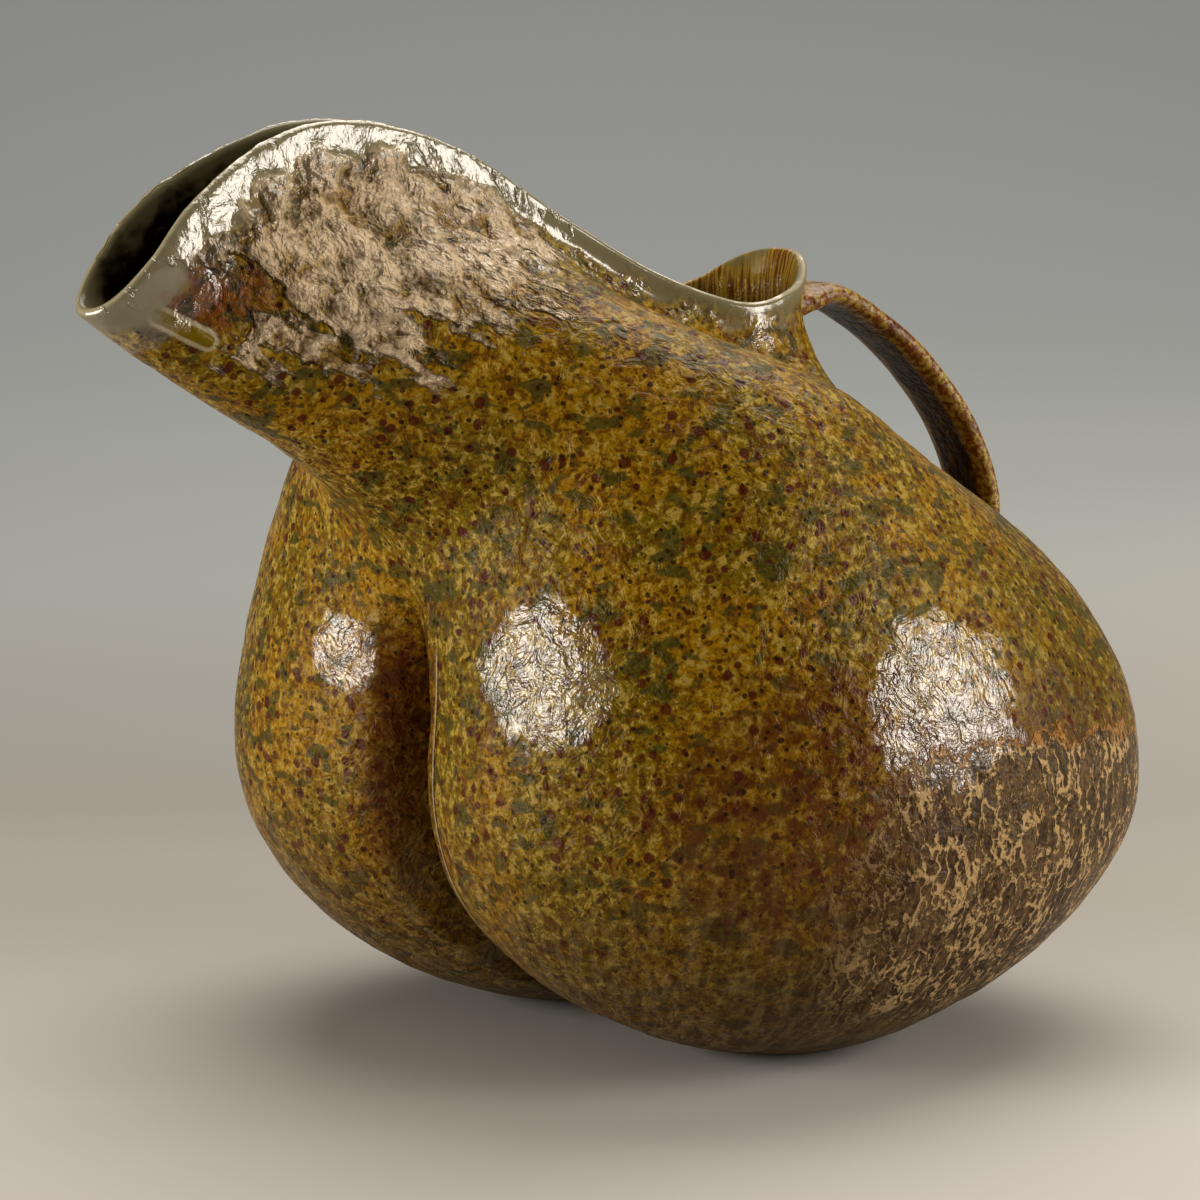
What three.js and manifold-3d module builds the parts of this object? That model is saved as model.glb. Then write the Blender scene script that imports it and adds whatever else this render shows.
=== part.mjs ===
// A figural pitcher in glazed stoneware: two full lobes side by side, drawn up into one leaning neck.
// Millimetres, +Z up. The spout points to -X, the handle to +X, and the lobes lie either side of y = 0.
// A column is a line on the wall from the underside to the lip. Its turn is 0 at the front,
// 180 at the back, and passes the right-hand lobe (-Y) on the way.
import * as THREE from 'three';
import { mergeVertices } from 'three/addons/utils/BufferGeometryUtils.js';
import Module from 'manifold-3d';

const wasm = await Module();
wasm.setup();

// Clay thickness, and the gap kept between pieces that are luted together
const wallThickness = 5;
const lipThickness = 3;
const clearance = 0.3;

// Each lobe is two swellings that flow into each other. Their middles are in the pitcher's frame,
// and the lengths below them are half sizes: along X, across Y, downwards and upwards. A tuck is
// how far the foot of a swelling is drawn in under the body.
const frontMiddle = new THREE.Vector3(-14.5, -40.5, 72.5);
const frontLength = 69;
const frontWidth = 65;
const frontDrop = 69;
const frontRise = 121;
const frontTuck = 15;
const rearMiddle = new THREE.Vector3(33.5, -39.5, 67.5);
const rearLength = 84.5;
const rearWidth = 70.5;
const rearDrop = 57;
const rearRise = 77.5;
const rearTuck = 2;
const swellingBlend = 55;

// The two lobes meet in a sharp cleft in front and below, which softens over the back and the top
const cleftBlend = 8;
const backBlend = 80;
const cleftFadeStart = -49;
const cleftFadeLength = 72;
const cleftFadeHeight = 100;
const cleftFadeRise = 52;
const undersideReach = 63;
const undersideHeight = 50;

// The lobes are flattened at this height, where the soft clay sat on the board
const footHeight = 1;

// The point inside the body that every column of the lower wall is measured from
const heart = new THREE.Vector3(5, 0, 72);

// Where the neck springs from the lobes: turn, and the angle above the heart in degrees
const shoulder = [
  { turn: 0, lift: 34 },
  { turn: 60, lift: 50 },
  { turn: 90, lift: 52 },
  { turn: 135, lift: 46 },
  { turn: 180, lift: 38 },
];

// The lip, from the tip of the spout (turn 0) over the crest and down to the rear of the mouth.
// x, side and z place its outer edge, as shares of the spout's reach, the mouth's half width and
// the crest's height.
const spoutReach = 172;
const mouthHalfWidth = 22;
const crestHeight = 240;
const lip = [
  { turn: 0, x: -1, side: 0, z: 0.8167 },
  { turn: 12, x: -0.9826, side: 0.3636, z: 0.8292 },
  { turn: 25, x: -0.9302, side: 0.5682, z: 0.8708 },
  { turn: 38, x: -0.8488, side: 0.5227, z: 0.9292 },
  { turn: 50, x: -0.7093, side: 0.3273, z: 0.9833 },
  { turn: 63, x: -0.5523, side: 0.2273, z: 1 },
  { turn: 76, x: -0.3605, side: 0.2273, z: 0.9667 },
  { turn: 90, x: -0.1919, side: 0.4091, z: 0.8938 },
  { turn: 105, x: -0.0349, side: 0.7273, z: 0.8271 },
  { turn: 120, x: 0.093, side: 1, z: 0.7937 },
  { turn: 138, x: 0.2093, side: 0.9545, z: 0.8042 },
  { turn: 158, x: 0.2733, side: 0.5455, z: 0.8313 },
  { turn: 180, x: 0.2907, side: 0, z: 0.84 },
];

// The way the neck wall runs as it reaches the lip, and how far it keeps the body's own slope
// (pull) before it turns that way: a small pull gives a tight bend above the shoulder
const neckLean = [
  { turn: 0, x: -0.8, side: 0, z: 0.6, pull: 0.47 },
  { turn: 25, x: -0.66, side: 0, z: 0.7, pull: 0.4 },
  { turn: 38, x: -0.5, side: -0.15, z: 0.85, pull: 0.56 },
  { turn: 50, x: -0.4, side: -0.35, z: 0.9, pull: 0.71 },
  { turn: 63, x: -0.25, side: -0.45, z: 0.9, pull: 0.83 },
  { turn: 76, x: -0.15, side: -0.4, z: 0.9, pull: 0.84 },
  { turn: 90, x: -0.05, side: -0.25, z: 0.95, pull: 0.84 },
  { turn: 105, x: 0, side: 0, z: 1, pull: 0.9 },
  { turn: 138, x: 0.28, side: 0.25, z: 0.95, pull: 1 },
  { turn: 180, x: 0.27, side: 0, z: 0.92, pull: 1.07 },
];

// The rounded bead that finishes the lip
const lipBeadHeight = 5;

// The strip of clay luted down the cleft
const seamWidth = 10;
const seamRearX = -8;

// The strap handle: its two seats on the wall, the points it passes between them, and its section.
// Each point lies along and out from the line between the seats, as shares of its length.
// The flare is how much wider its ends are. The two powers below square its face and its edges.
const handleTopDrop = 14.6;
const handleRootHeight = 105;
const handleBow = [
  { along: 0.0455, out: 0.1024 },
  { along: 0.1939, out: 0.1873 },
  { along: 0.4149, out: 0.255 },
  { along: 0.6469, out: 0.2719 },
  { along: 0.8391, out: 0.2268 },
  { along: 0.9483, out: 0.1275 },
];
const strapWidth = 19;
const strapThickness = 6;
const strapFlare = 1.25;
const strapFlatFace = 0.6;
const strapRoundEdge = 0.8;

// The wads of clay thumbed round the strap's two ends
const wadRim = 4;
const wadTopReach = 8;
const wadTopHalfHeight = 7;
const wadRootReach = 9;
const wadRootHalfHeight = 10;

// How finely the pieces are divided. The wall's columns crowd together towards the spout.
const columnCount = 60;
const lowerRings = 18;
const neckRings = 12;
const frontCrowding = 0.35;
const strapSteps = 26;
const strapSides = 12;
const wadColumns = 24;
const wadRows = 16;

const degrees = Math.PI / 180;

// A value along the half turn from front to back, as a smooth curve through its stations.
// Beyond the front and the back the curve is mirrored, and an odd one changes sign there.
function alongTurn(stations, name, turn, odd = false) {
  const last = stations.length - 1;
  const value = (i) => {
    if (i < 0) return (odd ? -1 : 1) * stations[-i][name];
    if (i > last) return (odd ? -1 : 1) * stations[2 * last - i][name];
    return stations[i][name];
  };
  const station = (i) => {
    if (i < 0) return -stations[-i].turn;
    if (i > last) return 2 * stations[last].turn - stations[2 * last - i].turn;
    return stations[i].turn;
  };
  const slope = (i) => {
    const before = station(i) - station(i - 1);
    const after = station(i + 1) - station(i);
    const rise = (value(i) - value(i - 1)) / before;
    const climb = (value(i + 1) - value(i)) / after;
    return (rise * after + climb * before) / (before + after);
  };
  let i = 0;
  while (i < last - 1 && turn > station(i + 1)) i += 1;
  const span = station(i + 1) - station(i);
  const t = (turn - station(i)) / span;
  const rising = t * t * (3 - 2 * t);
  return value(i) * (1 - rising) + value(i + 1) * rising
    + slope(i) * span * t * (1 - t) * (1 - t) - slope(i + 1) * span * t * t * (1 - t);
}

function fade(value, start, length) {
  const t = THREE.MathUtils.clamp((value - start) / length, 0, 1);
  return t * t * (3 - 2 * t);
}

function smoothJoin(a, b, blend) {
  const h = Math.max(blend - Math.abs(a - b), 0) / blend;
  return Math.min(a, b) - h * h * h * blend / 6;
}

// Roughly how far a point lies outside one swelling; negative inside it
function outsideSwelling(point, middle, length, width, drop, rise, tuck) {
  const height = point.z > middle.z ? rise : drop;
  const depth = Math.max(1 - point.z / middle.z, 0);
  const q = new THREE.Vector3(
    (point.x - middle.x - tuck * depth * depth) / length,
    (point.y - middle.y) / width,
    (point.z - middle.z) / height,
  );
  const reach = q.length();
  const steepness = Math.hypot(q.x / length, q.y / width, q.z / height);
  return reach * (reach - 1) / Math.max(steepness, 1e-9);
}

function outsideLobe(point) {
  return smoothJoin(
    outsideSwelling(point, frontMiddle, frontLength, frontWidth, frontDrop, frontRise, frontTuck),
    outsideSwelling(point, rearMiddle, rearLength, rearWidth, rearDrop, rearRise, -rearTuck),
    swellingBlend,
  );
}

function outsideBody(point) {
  const right = outsideLobe(point);
  const left = outsideLobe(new THREE.Vector3(point.x, -point.y, point.z));
  const under = THREE.MathUtils.clamp(1 - point.z / undersideHeight, 0, 1);
  const backward = fade(point.x - undersideReach * under, cleftFadeStart, cleftFadeLength);
  const upward = fade(point.z, cleftFadeHeight, cleftFadeRise);
  const softness = Math.max(backward, upward);
  return smoothJoin(right, left, THREE.MathUtils.lerp(cleftBlend, backBlend, softness));
}

// The point where a ray from the heart leaves the body: strides find it, and halvings place it
const stride = 2;
const halvings = 24;

function bodyPoint(turn, lift) {
  const ray = new THREE.Vector3(
    -Math.cos(turn * degrees) * Math.cos(lift * degrees),
    -Math.sin(turn * degrees) * Math.cos(lift * degrees),
    Math.sin(lift * degrees),
  );
  const at = (distance) => heart.clone().addScaledVector(ray, distance);
  let inside = 0;
  while (outsideBody(at(inside + stride)) < 0) inside += stride;
  let outside = inside + stride;
  for (let i = 0; i < halvings; i += 1) {
    const middle = (inside + outside) / 2;
    if (outsideBody(at(middle)) < 0) inside = middle;
    else outside = middle;
  }
  return at((inside + outside) / 2);
}

function shoulderLift(halfTurn) {
  return alongTurn(shoulder, 'lift', halfTurn);
}

// How far below the shoulder the body's slope is read, in degrees
const slopeStep = 1.5;

// A point of the neck's outer face: height 0 is the shoulder and 1 the lip
function neckPoint(turn, height) {
  const halfTurn = turn <= 180 ? turn : 360 - turn;
  const side = turn <= 180 ? -1 : 1;
  const lift = shoulderLift(halfTurn);
  const foot = bodyPoint(turn, lift);
  const leaving = foot.clone().sub(bodyPoint(turn, lift - slopeStep)).normalize();
  const top = new THREE.Vector3(
    spoutReach * alongTurn(lip, 'x', halfTurn),
    side * mouthHalfWidth * alongTurn(lip, 'side', halfTurn, true),
    crestHeight * alongTurn(lip, 'z', halfTurn),
  );
  const arriving = new THREE.Vector3(
    alongTurn(neckLean, 'x', halfTurn),
    side * alongTurn(neckLean, 'side', halfTurn, true),
    alongTurn(neckLean, 'z', halfTurn),
  ).normalize();
  const span = foot.distanceTo(top);
  const pull = alongTurn(neckLean, 'pull', halfTurn);
  const rising = height * height * (3 - 2 * height);
  return new THREE.Vector3()
    .addScaledVector(foot, 1 - rising)
    .addScaledVector(leaving, height * (1 - height) * (1 - height) * span * pull)
    .addScaledVector(top, rising)
    .addScaledVector(arriving, -height * height * (1 - height) * span);
}

// The outer face as a grid of rings by columns
const ringCount = lowerRings + neckRings;
const turns = Array.from({ length: columnCount }, (_, i) => {
  const share = i / columnCount;
  return 360 * share - frontCrowding / degrees * Math.sin(2 * Math.PI * share);
});

function wallPoint(ring, column) {
  const turn = turns[column];
  if (ring <= lowerRings) {
    const lift = shoulderLift(turn <= 180 ? turn : 360 - turn);
    return bodyPoint(turn, -90 + (lift + 90) * ring / lowerRings);
  }
  const beadShare = lipBeadHeight / neckPoint(turn, 0).distanceTo(neckPoint(turn, 1));
  const beadStart = 1 - beadShare;
  if (ring === ringCount) return neckPoint(turn, 1);
  return neckPoint(turn, beadStart * (ring - lowerRings) / (neckRings - 1));
}

const outerFace = [];
for (let ring = 0; ring <= ringCount; ring += 1) {
  outerFace.push(turns.map((_, column) => wallPoint(ring, column)));
}

function wrap(column) {
  return (column + columnCount) % columnCount;
}

// The outward direction at each grid point, from its neighbours
const outward = outerFace.map((row, ring) => row.map((point, column) => {
  if (ring === 0) return new THREE.Vector3(0, 0, -1);
  const above = outerFace[Math.min(ring + 1, ringCount)][column];
  const below = outerFace[ring - 1][column];
  const ahead = row[wrap(column + 1)];
  const behind = row[wrap(column - 1)];
  return new THREE.Vector3().crossVectors(ahead.clone().sub(behind), above.clone().sub(below)).normalize();
}));

// The way up the wall at a grid point between two stretches of it
function upTheWall(ring, column) {
  return outerFace[ring + 1][column].clone().sub(outerFace[ring - 1][column]).normalize();
}

// The wall thins from the shoulder to the lip
function thicknessAt(ring) {
  const share = Math.max(ring - lowerRings, 0) / neckRings;
  return THREE.MathUtils.lerp(wallThickness, lipThickness, share);
}

// A closed body from points and triangles, turned so that its faces point outwards
function closedBody(points, triangles) {
  let volume = 0;
  for (const [a, b, c] of triangles) {
    volume += points[a].dot(new THREE.Vector3().crossVectors(points[b], points[c]));
  }
  const index = triangles.flatMap(([a, b, c]) => (volume > 0 ? [a, b, c] : [a, c, b]));
  const geometry = new THREE.BufferGeometry();
  const position = points.flatMap((p) => [p.x, p.y, p.z]);
  geometry.setAttribute('position', new THREE.Float32BufferAttribute(position, 3));
  geometry.setIndex(index);
  return geometry;
}

// A stretch of the wall as a closed body, between two rings and, for one side, over half the
// columns. proud grows its outer face, depth replaces its thickness, and gaps draw in its ends.
function wallStretch({ low = 0, high, side = 0, proud = 0, depth = null, lowGap = 0, highGap = 0 }) {
  const half = columnCount / 2;
  const columns = side === 0
    ? turns.map((_, column) => column)
    : Array.from({ length: half + 1 }, (_, i) => wrap(side < 0 ? i : half + i));
  const closed = side === 0;
  const points = [];
  const number = (layer, ring, i) => (layer * (high - low + 1) + ring - low) * columns.length + i;
  for (const layer of [0, 1]) {
    for (let ring = low; ring <= high; ring += 1) {
      for (const column of columns) {
        const inset = layer === 0 ? -proud : depth ?? thicknessAt(ring);
        const point = outerFace[ring][column].clone().addScaledVector(outward[ring][column], -inset);
        if (ring === low && lowGap > 0) point.addScaledVector(upTheWall(ring, column), lowGap);
        if (ring === high && highGap > 0) point.addScaledVector(upTheWall(ring, column), -highGap);
        if (side !== 0) point.y = side * Math.max(side * point.y, clearance / 2);
        points.push(point);
      }
    }
  }
  const triangles = [];
  const quad = (a, b, c, d) => triangles.push([a, b, c], [a, c, d]);
  const steps = closed ? columns.length : columns.length - 1;
  for (let i = 0; i < steps; i += 1) {
    const next = (i + 1) % columns.length;
    for (let ring = low; ring < high; ring += 1) {
      quad(number(0, ring, i), number(0, ring, next), number(0, ring + 1, next), number(0, ring + 1, i));
      quad(number(1, ring, i), number(1, ring + 1, i), number(1, ring + 1, next), number(1, ring, next));
    }
    if (low > 0) quad(number(0, low, i), number(1, low, i), number(1, low, next), number(0, low, next));
    quad(number(0, high, i), number(0, high, next), number(1, high, next), number(1, high, i));
  }
  if (!closed) {
    const end = columns.length - 1;
    for (let ring = low; ring < high; ring += 1) {
      quad(number(0, ring, 0), number(0, ring + 1, 0), number(1, ring + 1, 0), number(1, ring, 0));
      const above = ring + 1;
      quad(number(0, above, end), number(0, ring, end), number(1, ring, end), number(1, above, end));
    }
  }
  return closedBody(points, triangles);
}

// Joins and cuts need merged corners, and triangles that shrink to a line at the pole drop out
function solid(geometry) {
  const bare = geometry.clone();
  bare.deleteAttribute('normal');
  bare.deleteAttribute('uv');
  const merged = mergeVertices(bare, 1e-4);
  const corners = merged.index.array;
  const kept = [];
  for (let i = 0; i < corners.length; i += 3) {
    const [a, b, c] = [corners[i], corners[i + 1], corners[i + 2]];
    if (a !== b && b !== c && c !== a) kept.push(a, b, c);
  }
  return new wasm.Manifold(new wasm.Mesh({
    numProp: 3,
    vertProperties: merged.attributes.position.array,
    triVerts: Uint32Array.from(kept),
  }));
}

function geometryOf(body) {
  const mesh = body.getMesh();
  const geometry = new THREE.BufferGeometry();
  geometry.setAttribute('position', new THREE.Float32BufferAttribute(mesh.vertProperties, mesh.numProp));
  geometry.setIndex([...mesh.triVerts]);
  return geometry;
}

function block(from, to) {
  const size = to.clone().sub(from);
  const middle = from.clone().add(to).multiplyScalar(0.5);
  return solid(new THREE.BoxGeometry(size.x, size.y, size.z).translate(middle.x, middle.y, middle.z));
}

// Everything below the lobes' flattened feet
const farAway = 1000;
const floor = block(
  new THREE.Vector3(-farAway, -farAway, -farAway),
  new THREE.Vector3(farAway, farAway, footHeight),
);

// The part of space that the seam strip takes, with room to spare round it
function seamSlab(room) {
  const halfWidth = seamWidth / 2 + room;
  return block(
    new THREE.Vector3(-farAway, -halfWidth, -farAway),
    new THREE.Vector3(seamRearX + room, halfWidth, farAway),
  );
}

function makeLobe(side) {
  const shell = solid(wallStretch({ high: lowerRings, side, highGap: clearance / 2 }));
  return shell.subtract(seamSlab(clearance)).subtract(floor);
}

function makeCleftSeam() {
  const shell = solid(wallStretch({ high: lowerRings, highGap: clearance / 2 }));
  return shell.intersect(seamSlab(0)).subtract(floor);
}

function makeNeckSide(side) {
  const low = lowerRings;
  const high = ringCount - 1;
  return solid(wallStretch({ low, high, side, lowGap: clearance / 2, highGap: clearance / 2 }));
}

// The lip bead keeps the wall's faces at its foot and is round on top
function makeLipBead() {
  const arcSteps = 4;
  const radius = lipThickness / 2;
  const rows = turns.map((_, column) => {
    const foot = outerFace[ringCount - 1][column];
    const edge = outerFace[ringCount][column];
    const up = edge.clone().sub(foot).normalize();
    const out = outward[ringCount][column];
    const footOut = foot.clone().addScaledVector(upTheWall(ringCount - 1, column), clearance / 2);
    const inward = outward[ringCount - 1][column].clone().negate();
    const footIn = footOut.clone().addScaledVector(inward, thicknessAt(ringCount - 1));
    const centre = edge.clone().addScaledVector(up, -radius).addScaledVector(out, -radius);
    const arc = Array.from({ length: arcSteps + 1 }, (__, i) => {
      const angle = Math.PI * i / arcSteps;
      return centre.clone()
        .addScaledVector(out, radius * Math.cos(angle))
        .addScaledVector(up, radius * Math.sin(angle));
    });
    return [footIn, ...arc.reverse(), footOut];
  });
  return solid(sweptRing(rows));
}

// A closed ring of sections, each a loop of points
function sweptRing(rows) {
  const size = rows[0].length;
  const triangles = [];
  rows.forEach((_, i) => {
    const next = (i + 1) % rows.length;
    for (let j = 0; j < size; j += 1) {
      const k = (j + 1) % size;
      const here = i * size;
      const there = next * size;
      triangles.push([here + j, there + j, there + k], [here + j, there + k, here + k]);
    }
  });
  return closedBody(rows.flat(), triangles);
}

// A run of sections, each a loop of points, with a flat fan at either end
function sweptRun(rows) {
  const size = rows[0].length;
  const triangles = [];
  for (let i = 0; i < rows.length - 1; i += 1) {
    for (let j = 0; j < size; j += 1) {
      const k = (j + 1) % size;
      const here = i * size;
      const there = here + size;
      triangles.push([here + j, there + j, there + k], [here + j, there + k, here + k]);
    }
  }
  const end = (rows.length - 1) * size;
  for (let j = 1; j < size - 1; j += 1) {
    triangles.push([0, j, j + 1], [end, end + j + 1, end + j]);
  }
  return closedBody(rows.flat(), triangles);
}

// The wall's outer face on the middle plane at the back, at a given height
function backOfWall(height) {
  const column = columnCount / 2;
  let ring = 1;
  while (ring < ringCount - 1 && outerFace[ring + 1][column].z < height) ring += 1;
  const below = outerFace[ring][column];
  const above = outerFace[ring + 1][column];
  const share = (height - below.z) / (above.z - below.z);
  const point = below.clone().lerp(above, share);
  const normal = outward[ring][column].clone().lerp(outward[ring + 1][column], share).normalize();
  return { point, normal };
}

const rearOfLip = crestHeight * lip[lip.length - 1].z;
const handleTop = backOfWall(rearOfLip - handleTopDrop);
const handleRoot = backOfWall(handleRootHeight);

// The bow follows the straight line between the two seats, wherever they are
const seatLine = handleRoot.point.clone().sub(handleTop.point);
const outOfSeatLine = new THREE.Vector3(-seatLine.z, 0, seatLine.x);

// The strap's middle line starts and ends inside the wall, which then trims it
const strapLine = new THREE.CatmullRomCurve3([
  handleTop.point.clone().addScaledVector(handleTop.normal, -wallThickness / 2),
  ...handleBow.map(({ along, out }) => handleTop.point.clone()
    .addScaledVector(seatLine, along)
    .addScaledVector(outOfSeatLine, out)),
  handleRoot.point.clone().addScaledVector(handleRoot.normal, -wallThickness / 2),
]);

function squarer(value, power) {
  return Math.sign(value) * Math.abs(value) ** power;
}

// The strap with room round it: a flat section with full, round edges, wider at both ends
function strapBody(room) {
  const rows = [];
  for (let i = 0; i <= strapSteps; i += 1) {
    const share = i / strapSteps;
    const centre = strapLine.getPointAt(share);
    const tangent = strapLine.getTangentAt(share);
    const outOfBow = new THREE.Vector3(tangent.z, 0, -tangent.x);
    const flare = THREE.MathUtils.lerp(1, strapFlare, Math.abs(2 * share - 1) ** 4);
    const halfWidth = strapWidth / 2 * flare + room;
    const halfThickness = strapThickness / 2 + room;
    rows.push(Array.from({ length: strapSides }, (_, j) => {
      const angle = 2 * Math.PI * (j + 0.5) / strapSides;
      const across = squarer(Math.cos(angle), strapFlatFace) * halfWidth;
      const through = squarer(Math.sin(angle), strapRoundEdge) * halfThickness;
      return new THREE.Vector3(centre.x, across, centre.z).addScaledVector(outOfBow, through);
    }));
  }
  return solid(sweptRun(rows));
}

// The whole wall, thickened both ways, for trimming what is seated on it
const wallCutter = solid(wallStretch({ high: ringCount, proud: clearance, depth: 2 * wallThickness }));

function makeHandleStrap() {
  return strapBody(0).subtract(wallCutter);
}

// A wad is a round cushion of clay seated on the wall, with the strap passing through it
function makeWad(seat, reach, halfHeight) {
  const halfWidth = strapWidth / 2 * strapFlare + wadRim;
  const cushion = new THREE.SphereGeometry(1, wadColumns, wadRows).scale(reach, halfWidth, halfHeight);
  const tilt = Math.atan2(seat.normal.z, seat.normal.x);
  cushion.rotateY(-tilt).translate(seat.point.x, 0, seat.point.z);
  return solid(cushion).subtract(wallCutter).subtract(strapBody(clearance));
}

// Glaze colours
const ochreGlaze = new THREE.MeshStandardMaterial({ color: 0x7a6428, roughness: 0.35, metalness: 0 });
const darkGlaze = new THREE.MeshStandardMaterial({ color: 0x4a3420, roughness: 0.4, metalness: 0 });
const paleGlaze = new THREE.MeshStandardMaterial({ color: 0xa8a488, roughness: 0.3, metalness: 0 });

const pitcher = new THREE.Group();

function place(name, body, material) {
  const mesh = new THREE.Mesh(geometryOf(body), material);
  mesh.name = name;
  pitcher.add(mesh);
}

place('lobe_right', makeLobe(-1), ochreGlaze);
place('lobe_left', makeLobe(1), ochreGlaze);
place('cleft_seam', makeCleftSeam(), darkGlaze);
place('neck_right', makeNeckSide(-1), ochreGlaze);
place('neck_left', makeNeckSide(1), ochreGlaze);
place('lip_bead', makeLipBead(), paleGlaze);
place('handle_strap', makeHandleStrap(), darkGlaze);
place('handle_top_wad', makeWad(handleTop, wadTopReach, wadTopHalfHeight), darkGlaze);
place('handle_root_wad', makeWad(handleRoot, wadRootReach, wadRootHalfHeight), darkGlaze);

// The origin is on the resting surface, under the middle of the whole pitcher
const box = new THREE.Box3().setFromObject(pitcher);
pitcher.position.set(-(box.min.x + box.max.x) / 2, -(box.min.y + box.max.y) / 2, -box.min.z);
pitcher.updateMatrixWorld(true);

export default pitcher;
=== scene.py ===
# %% [markdown]
# # A figural stoneware pitcher
# Two full lobes stand side by side and are drawn up into one neck, which leans far forward to a
# pinched spout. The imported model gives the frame, and every finished piece stands in for the
# model's plain solids in the same place. The wall's sizes follow the photograph a little closer
# than the model's do: the lobes are fuller and the cleft is sharper.

# %% The frame
import math
import bpy
import numpy as np
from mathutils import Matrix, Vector


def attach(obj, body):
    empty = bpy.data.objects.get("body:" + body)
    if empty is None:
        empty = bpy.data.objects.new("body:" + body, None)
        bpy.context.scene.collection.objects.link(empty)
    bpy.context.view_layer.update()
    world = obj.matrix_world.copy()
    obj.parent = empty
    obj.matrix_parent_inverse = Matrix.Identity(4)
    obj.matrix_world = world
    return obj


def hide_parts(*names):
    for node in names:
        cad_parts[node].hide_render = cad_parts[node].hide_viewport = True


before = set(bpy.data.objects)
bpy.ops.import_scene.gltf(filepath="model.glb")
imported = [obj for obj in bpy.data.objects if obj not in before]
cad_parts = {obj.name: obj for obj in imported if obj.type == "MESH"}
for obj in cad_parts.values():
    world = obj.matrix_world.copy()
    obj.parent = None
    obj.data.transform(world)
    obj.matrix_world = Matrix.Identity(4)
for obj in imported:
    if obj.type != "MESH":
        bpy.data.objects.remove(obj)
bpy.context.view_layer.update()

# %% [markdown]
# ## The camera
# The photograph was taken from the pitcher's front right, a little above it, with a long lens. The
# camera is placed by turning about the middle of the body, and a small shift puts the pitcher
# where it stands in the picture.

# %% Camera
view_turn = math.radians(-40)
view_rise = math.radians(8)
view_distance = 1.3
focal_pixels, picture_pixels = 5005, 1200
aim = Vector((0.02483, 0, 0.116))
towards_camera = Vector((
    math.sin(view_turn) * math.cos(view_rise),
    -math.cos(view_turn) * math.cos(view_rise),
    math.sin(view_rise),
))
camera_data = bpy.data.cameras.new("camera")
camera_data.sensor_width = 36
camera_data.lens = camera_data.sensor_width * focal_pixels / picture_pixels
camera_data.shift_x = -40 / picture_pixels
camera_data.shift_y = -17 / picture_pixels
camera_data.clip_end = 50
camera = bpy.data.objects.new("camera", camera_data)
camera.location = aim + towards_camera * view_distance
camera.rotation_euler = towards_camera.to_track_quat("Z", "Y").to_euler()
bpy.context.scene.collection.objects.link(camera)
bpy.context.scene.camera = camera
print("camera at", [round(v, 3) for v in camera.location])

# %% [markdown]
# ## A desk for node trees
# Materials and Geometry Nodes are both made of nodes. A Desk adds nodes to one tree by a single
# method, and a Wire wraps a socket, so that a formula can be written as plain arithmetic and each
# sign in it adds one Math node.

# %% Wires and desks
class Wire:
    def __init__(self, desk, node, socket):
        self.desk, self.node, self.socket = desk, node, socket

    def __getitem__(self, name):
        return Wire(self.desk, self.node, self.desk.find(self.node.outputs, name))

    def sum(self, operation, *others, **settings):
        sockets = dict(enumerate((self, *others)))
        return self.desk.add("ShaderNodeMath", {"operation": operation, **settings}, sockets)

    def __add__(self, other):
        return self.sum("ADD", other)

    def __mul__(self, other):
        return self.sum("MULTIPLY", other)

    def __sub__(self, other):
        return self.sum("SUBTRACT", other)

    def __truediv__(self, other):
        return self.sum("DIVIDE", other)

    def __rsub__(self, other):
        return (self * -1) + other

    def __pow__(self, power):
        return self.sum("POWER", power)

    __radd__ = __add__
    __rmul__ = __mul__

    def abs(self):
        return self.sum("ABSOLUTE")

    def within(self):
        return self.sum("ADD", 0.0, use_clamp=True)

    def rise(self, start, end, low=0.0, high=1.0):
        return self.desk.add(
            "ShaderNodeMapRange", {"interpolation_type": "SMOOTHSTEP"},
            {"Value": self, "From Min": start, "From Max": end, "To Min": low, "To Max": high},
        )

    def stretch(self, *sizes):
        sockets = {0: self, 1: sizes}
        return self.desk.add("ShaderNodeVectorMath", {"operation": "MULTIPLY"}, sockets)

    def shifted(self, other):
        return self.desk.add("ShaderNodeVectorMath", {"operation": "ADD"}, {0: self, 1: other})


class Desk:
    def __init__(self, tree):
        self.tree = tree
        tree.nodes.clear()

    def find(self, sockets, name):
        if isinstance(name, int):
            return sockets[name]
        exact = [s for s in sockets if s.identifier == name]
        return (exact or [s for s in sockets if s.name == name])[0]

    def add(self, kind, settings=None, sockets=None):
        node = self.tree.nodes.new(kind)
        for name, value in (settings or {}).items():
            if name == "stops":
                ramp = node.color_ramp
                while len(ramp.elements) < len(value):
                    ramp.elements.new(0.5)
                for element, (place, colour) in zip(ramp.elements, value):
                    element.position, element.color = place, colour
            else:
                setattr(node, name, value)
        for name, value in (sockets or {}).items():
            socket = self.find(node.inputs, name)
            if isinstance(value, Wire):
                self.tree.links.new(value.socket, socket)
            else:
                socket.default_value = value
        return Wire(self, node, node.outputs[0] if node.outputs else None)

    def noise(self, place, scale, detail=2.0, roughness=0.5, distortion=0.0):
        return self.add("ShaderNodeTexNoise", {}, {
            "Vector": place, "Scale": scale, "Detail": detail, "Roughness": roughness,
            "Distortion": distortion,
        })

    def blend(self, share, first, second):
        colours = {"Factor_Float": share, "A_Color": first, "B_Color": second}
        return self.add("ShaderNodeMix", {"data_type": "RGBA"}, colours)["Result_Color"]


# %% [markdown]
# ## The body's rule
# Each lobe is two swellings that melt into each other, and the left lobe mirrors the right. The two
# lobes melt together too, sharply in front, where a deep cleft stays, and softly over the back. A
# rule like this gives one number for any point of space: below zero is inside. Sizes here are in
# millimetres, in the frame that the shape was designed in.

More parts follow.
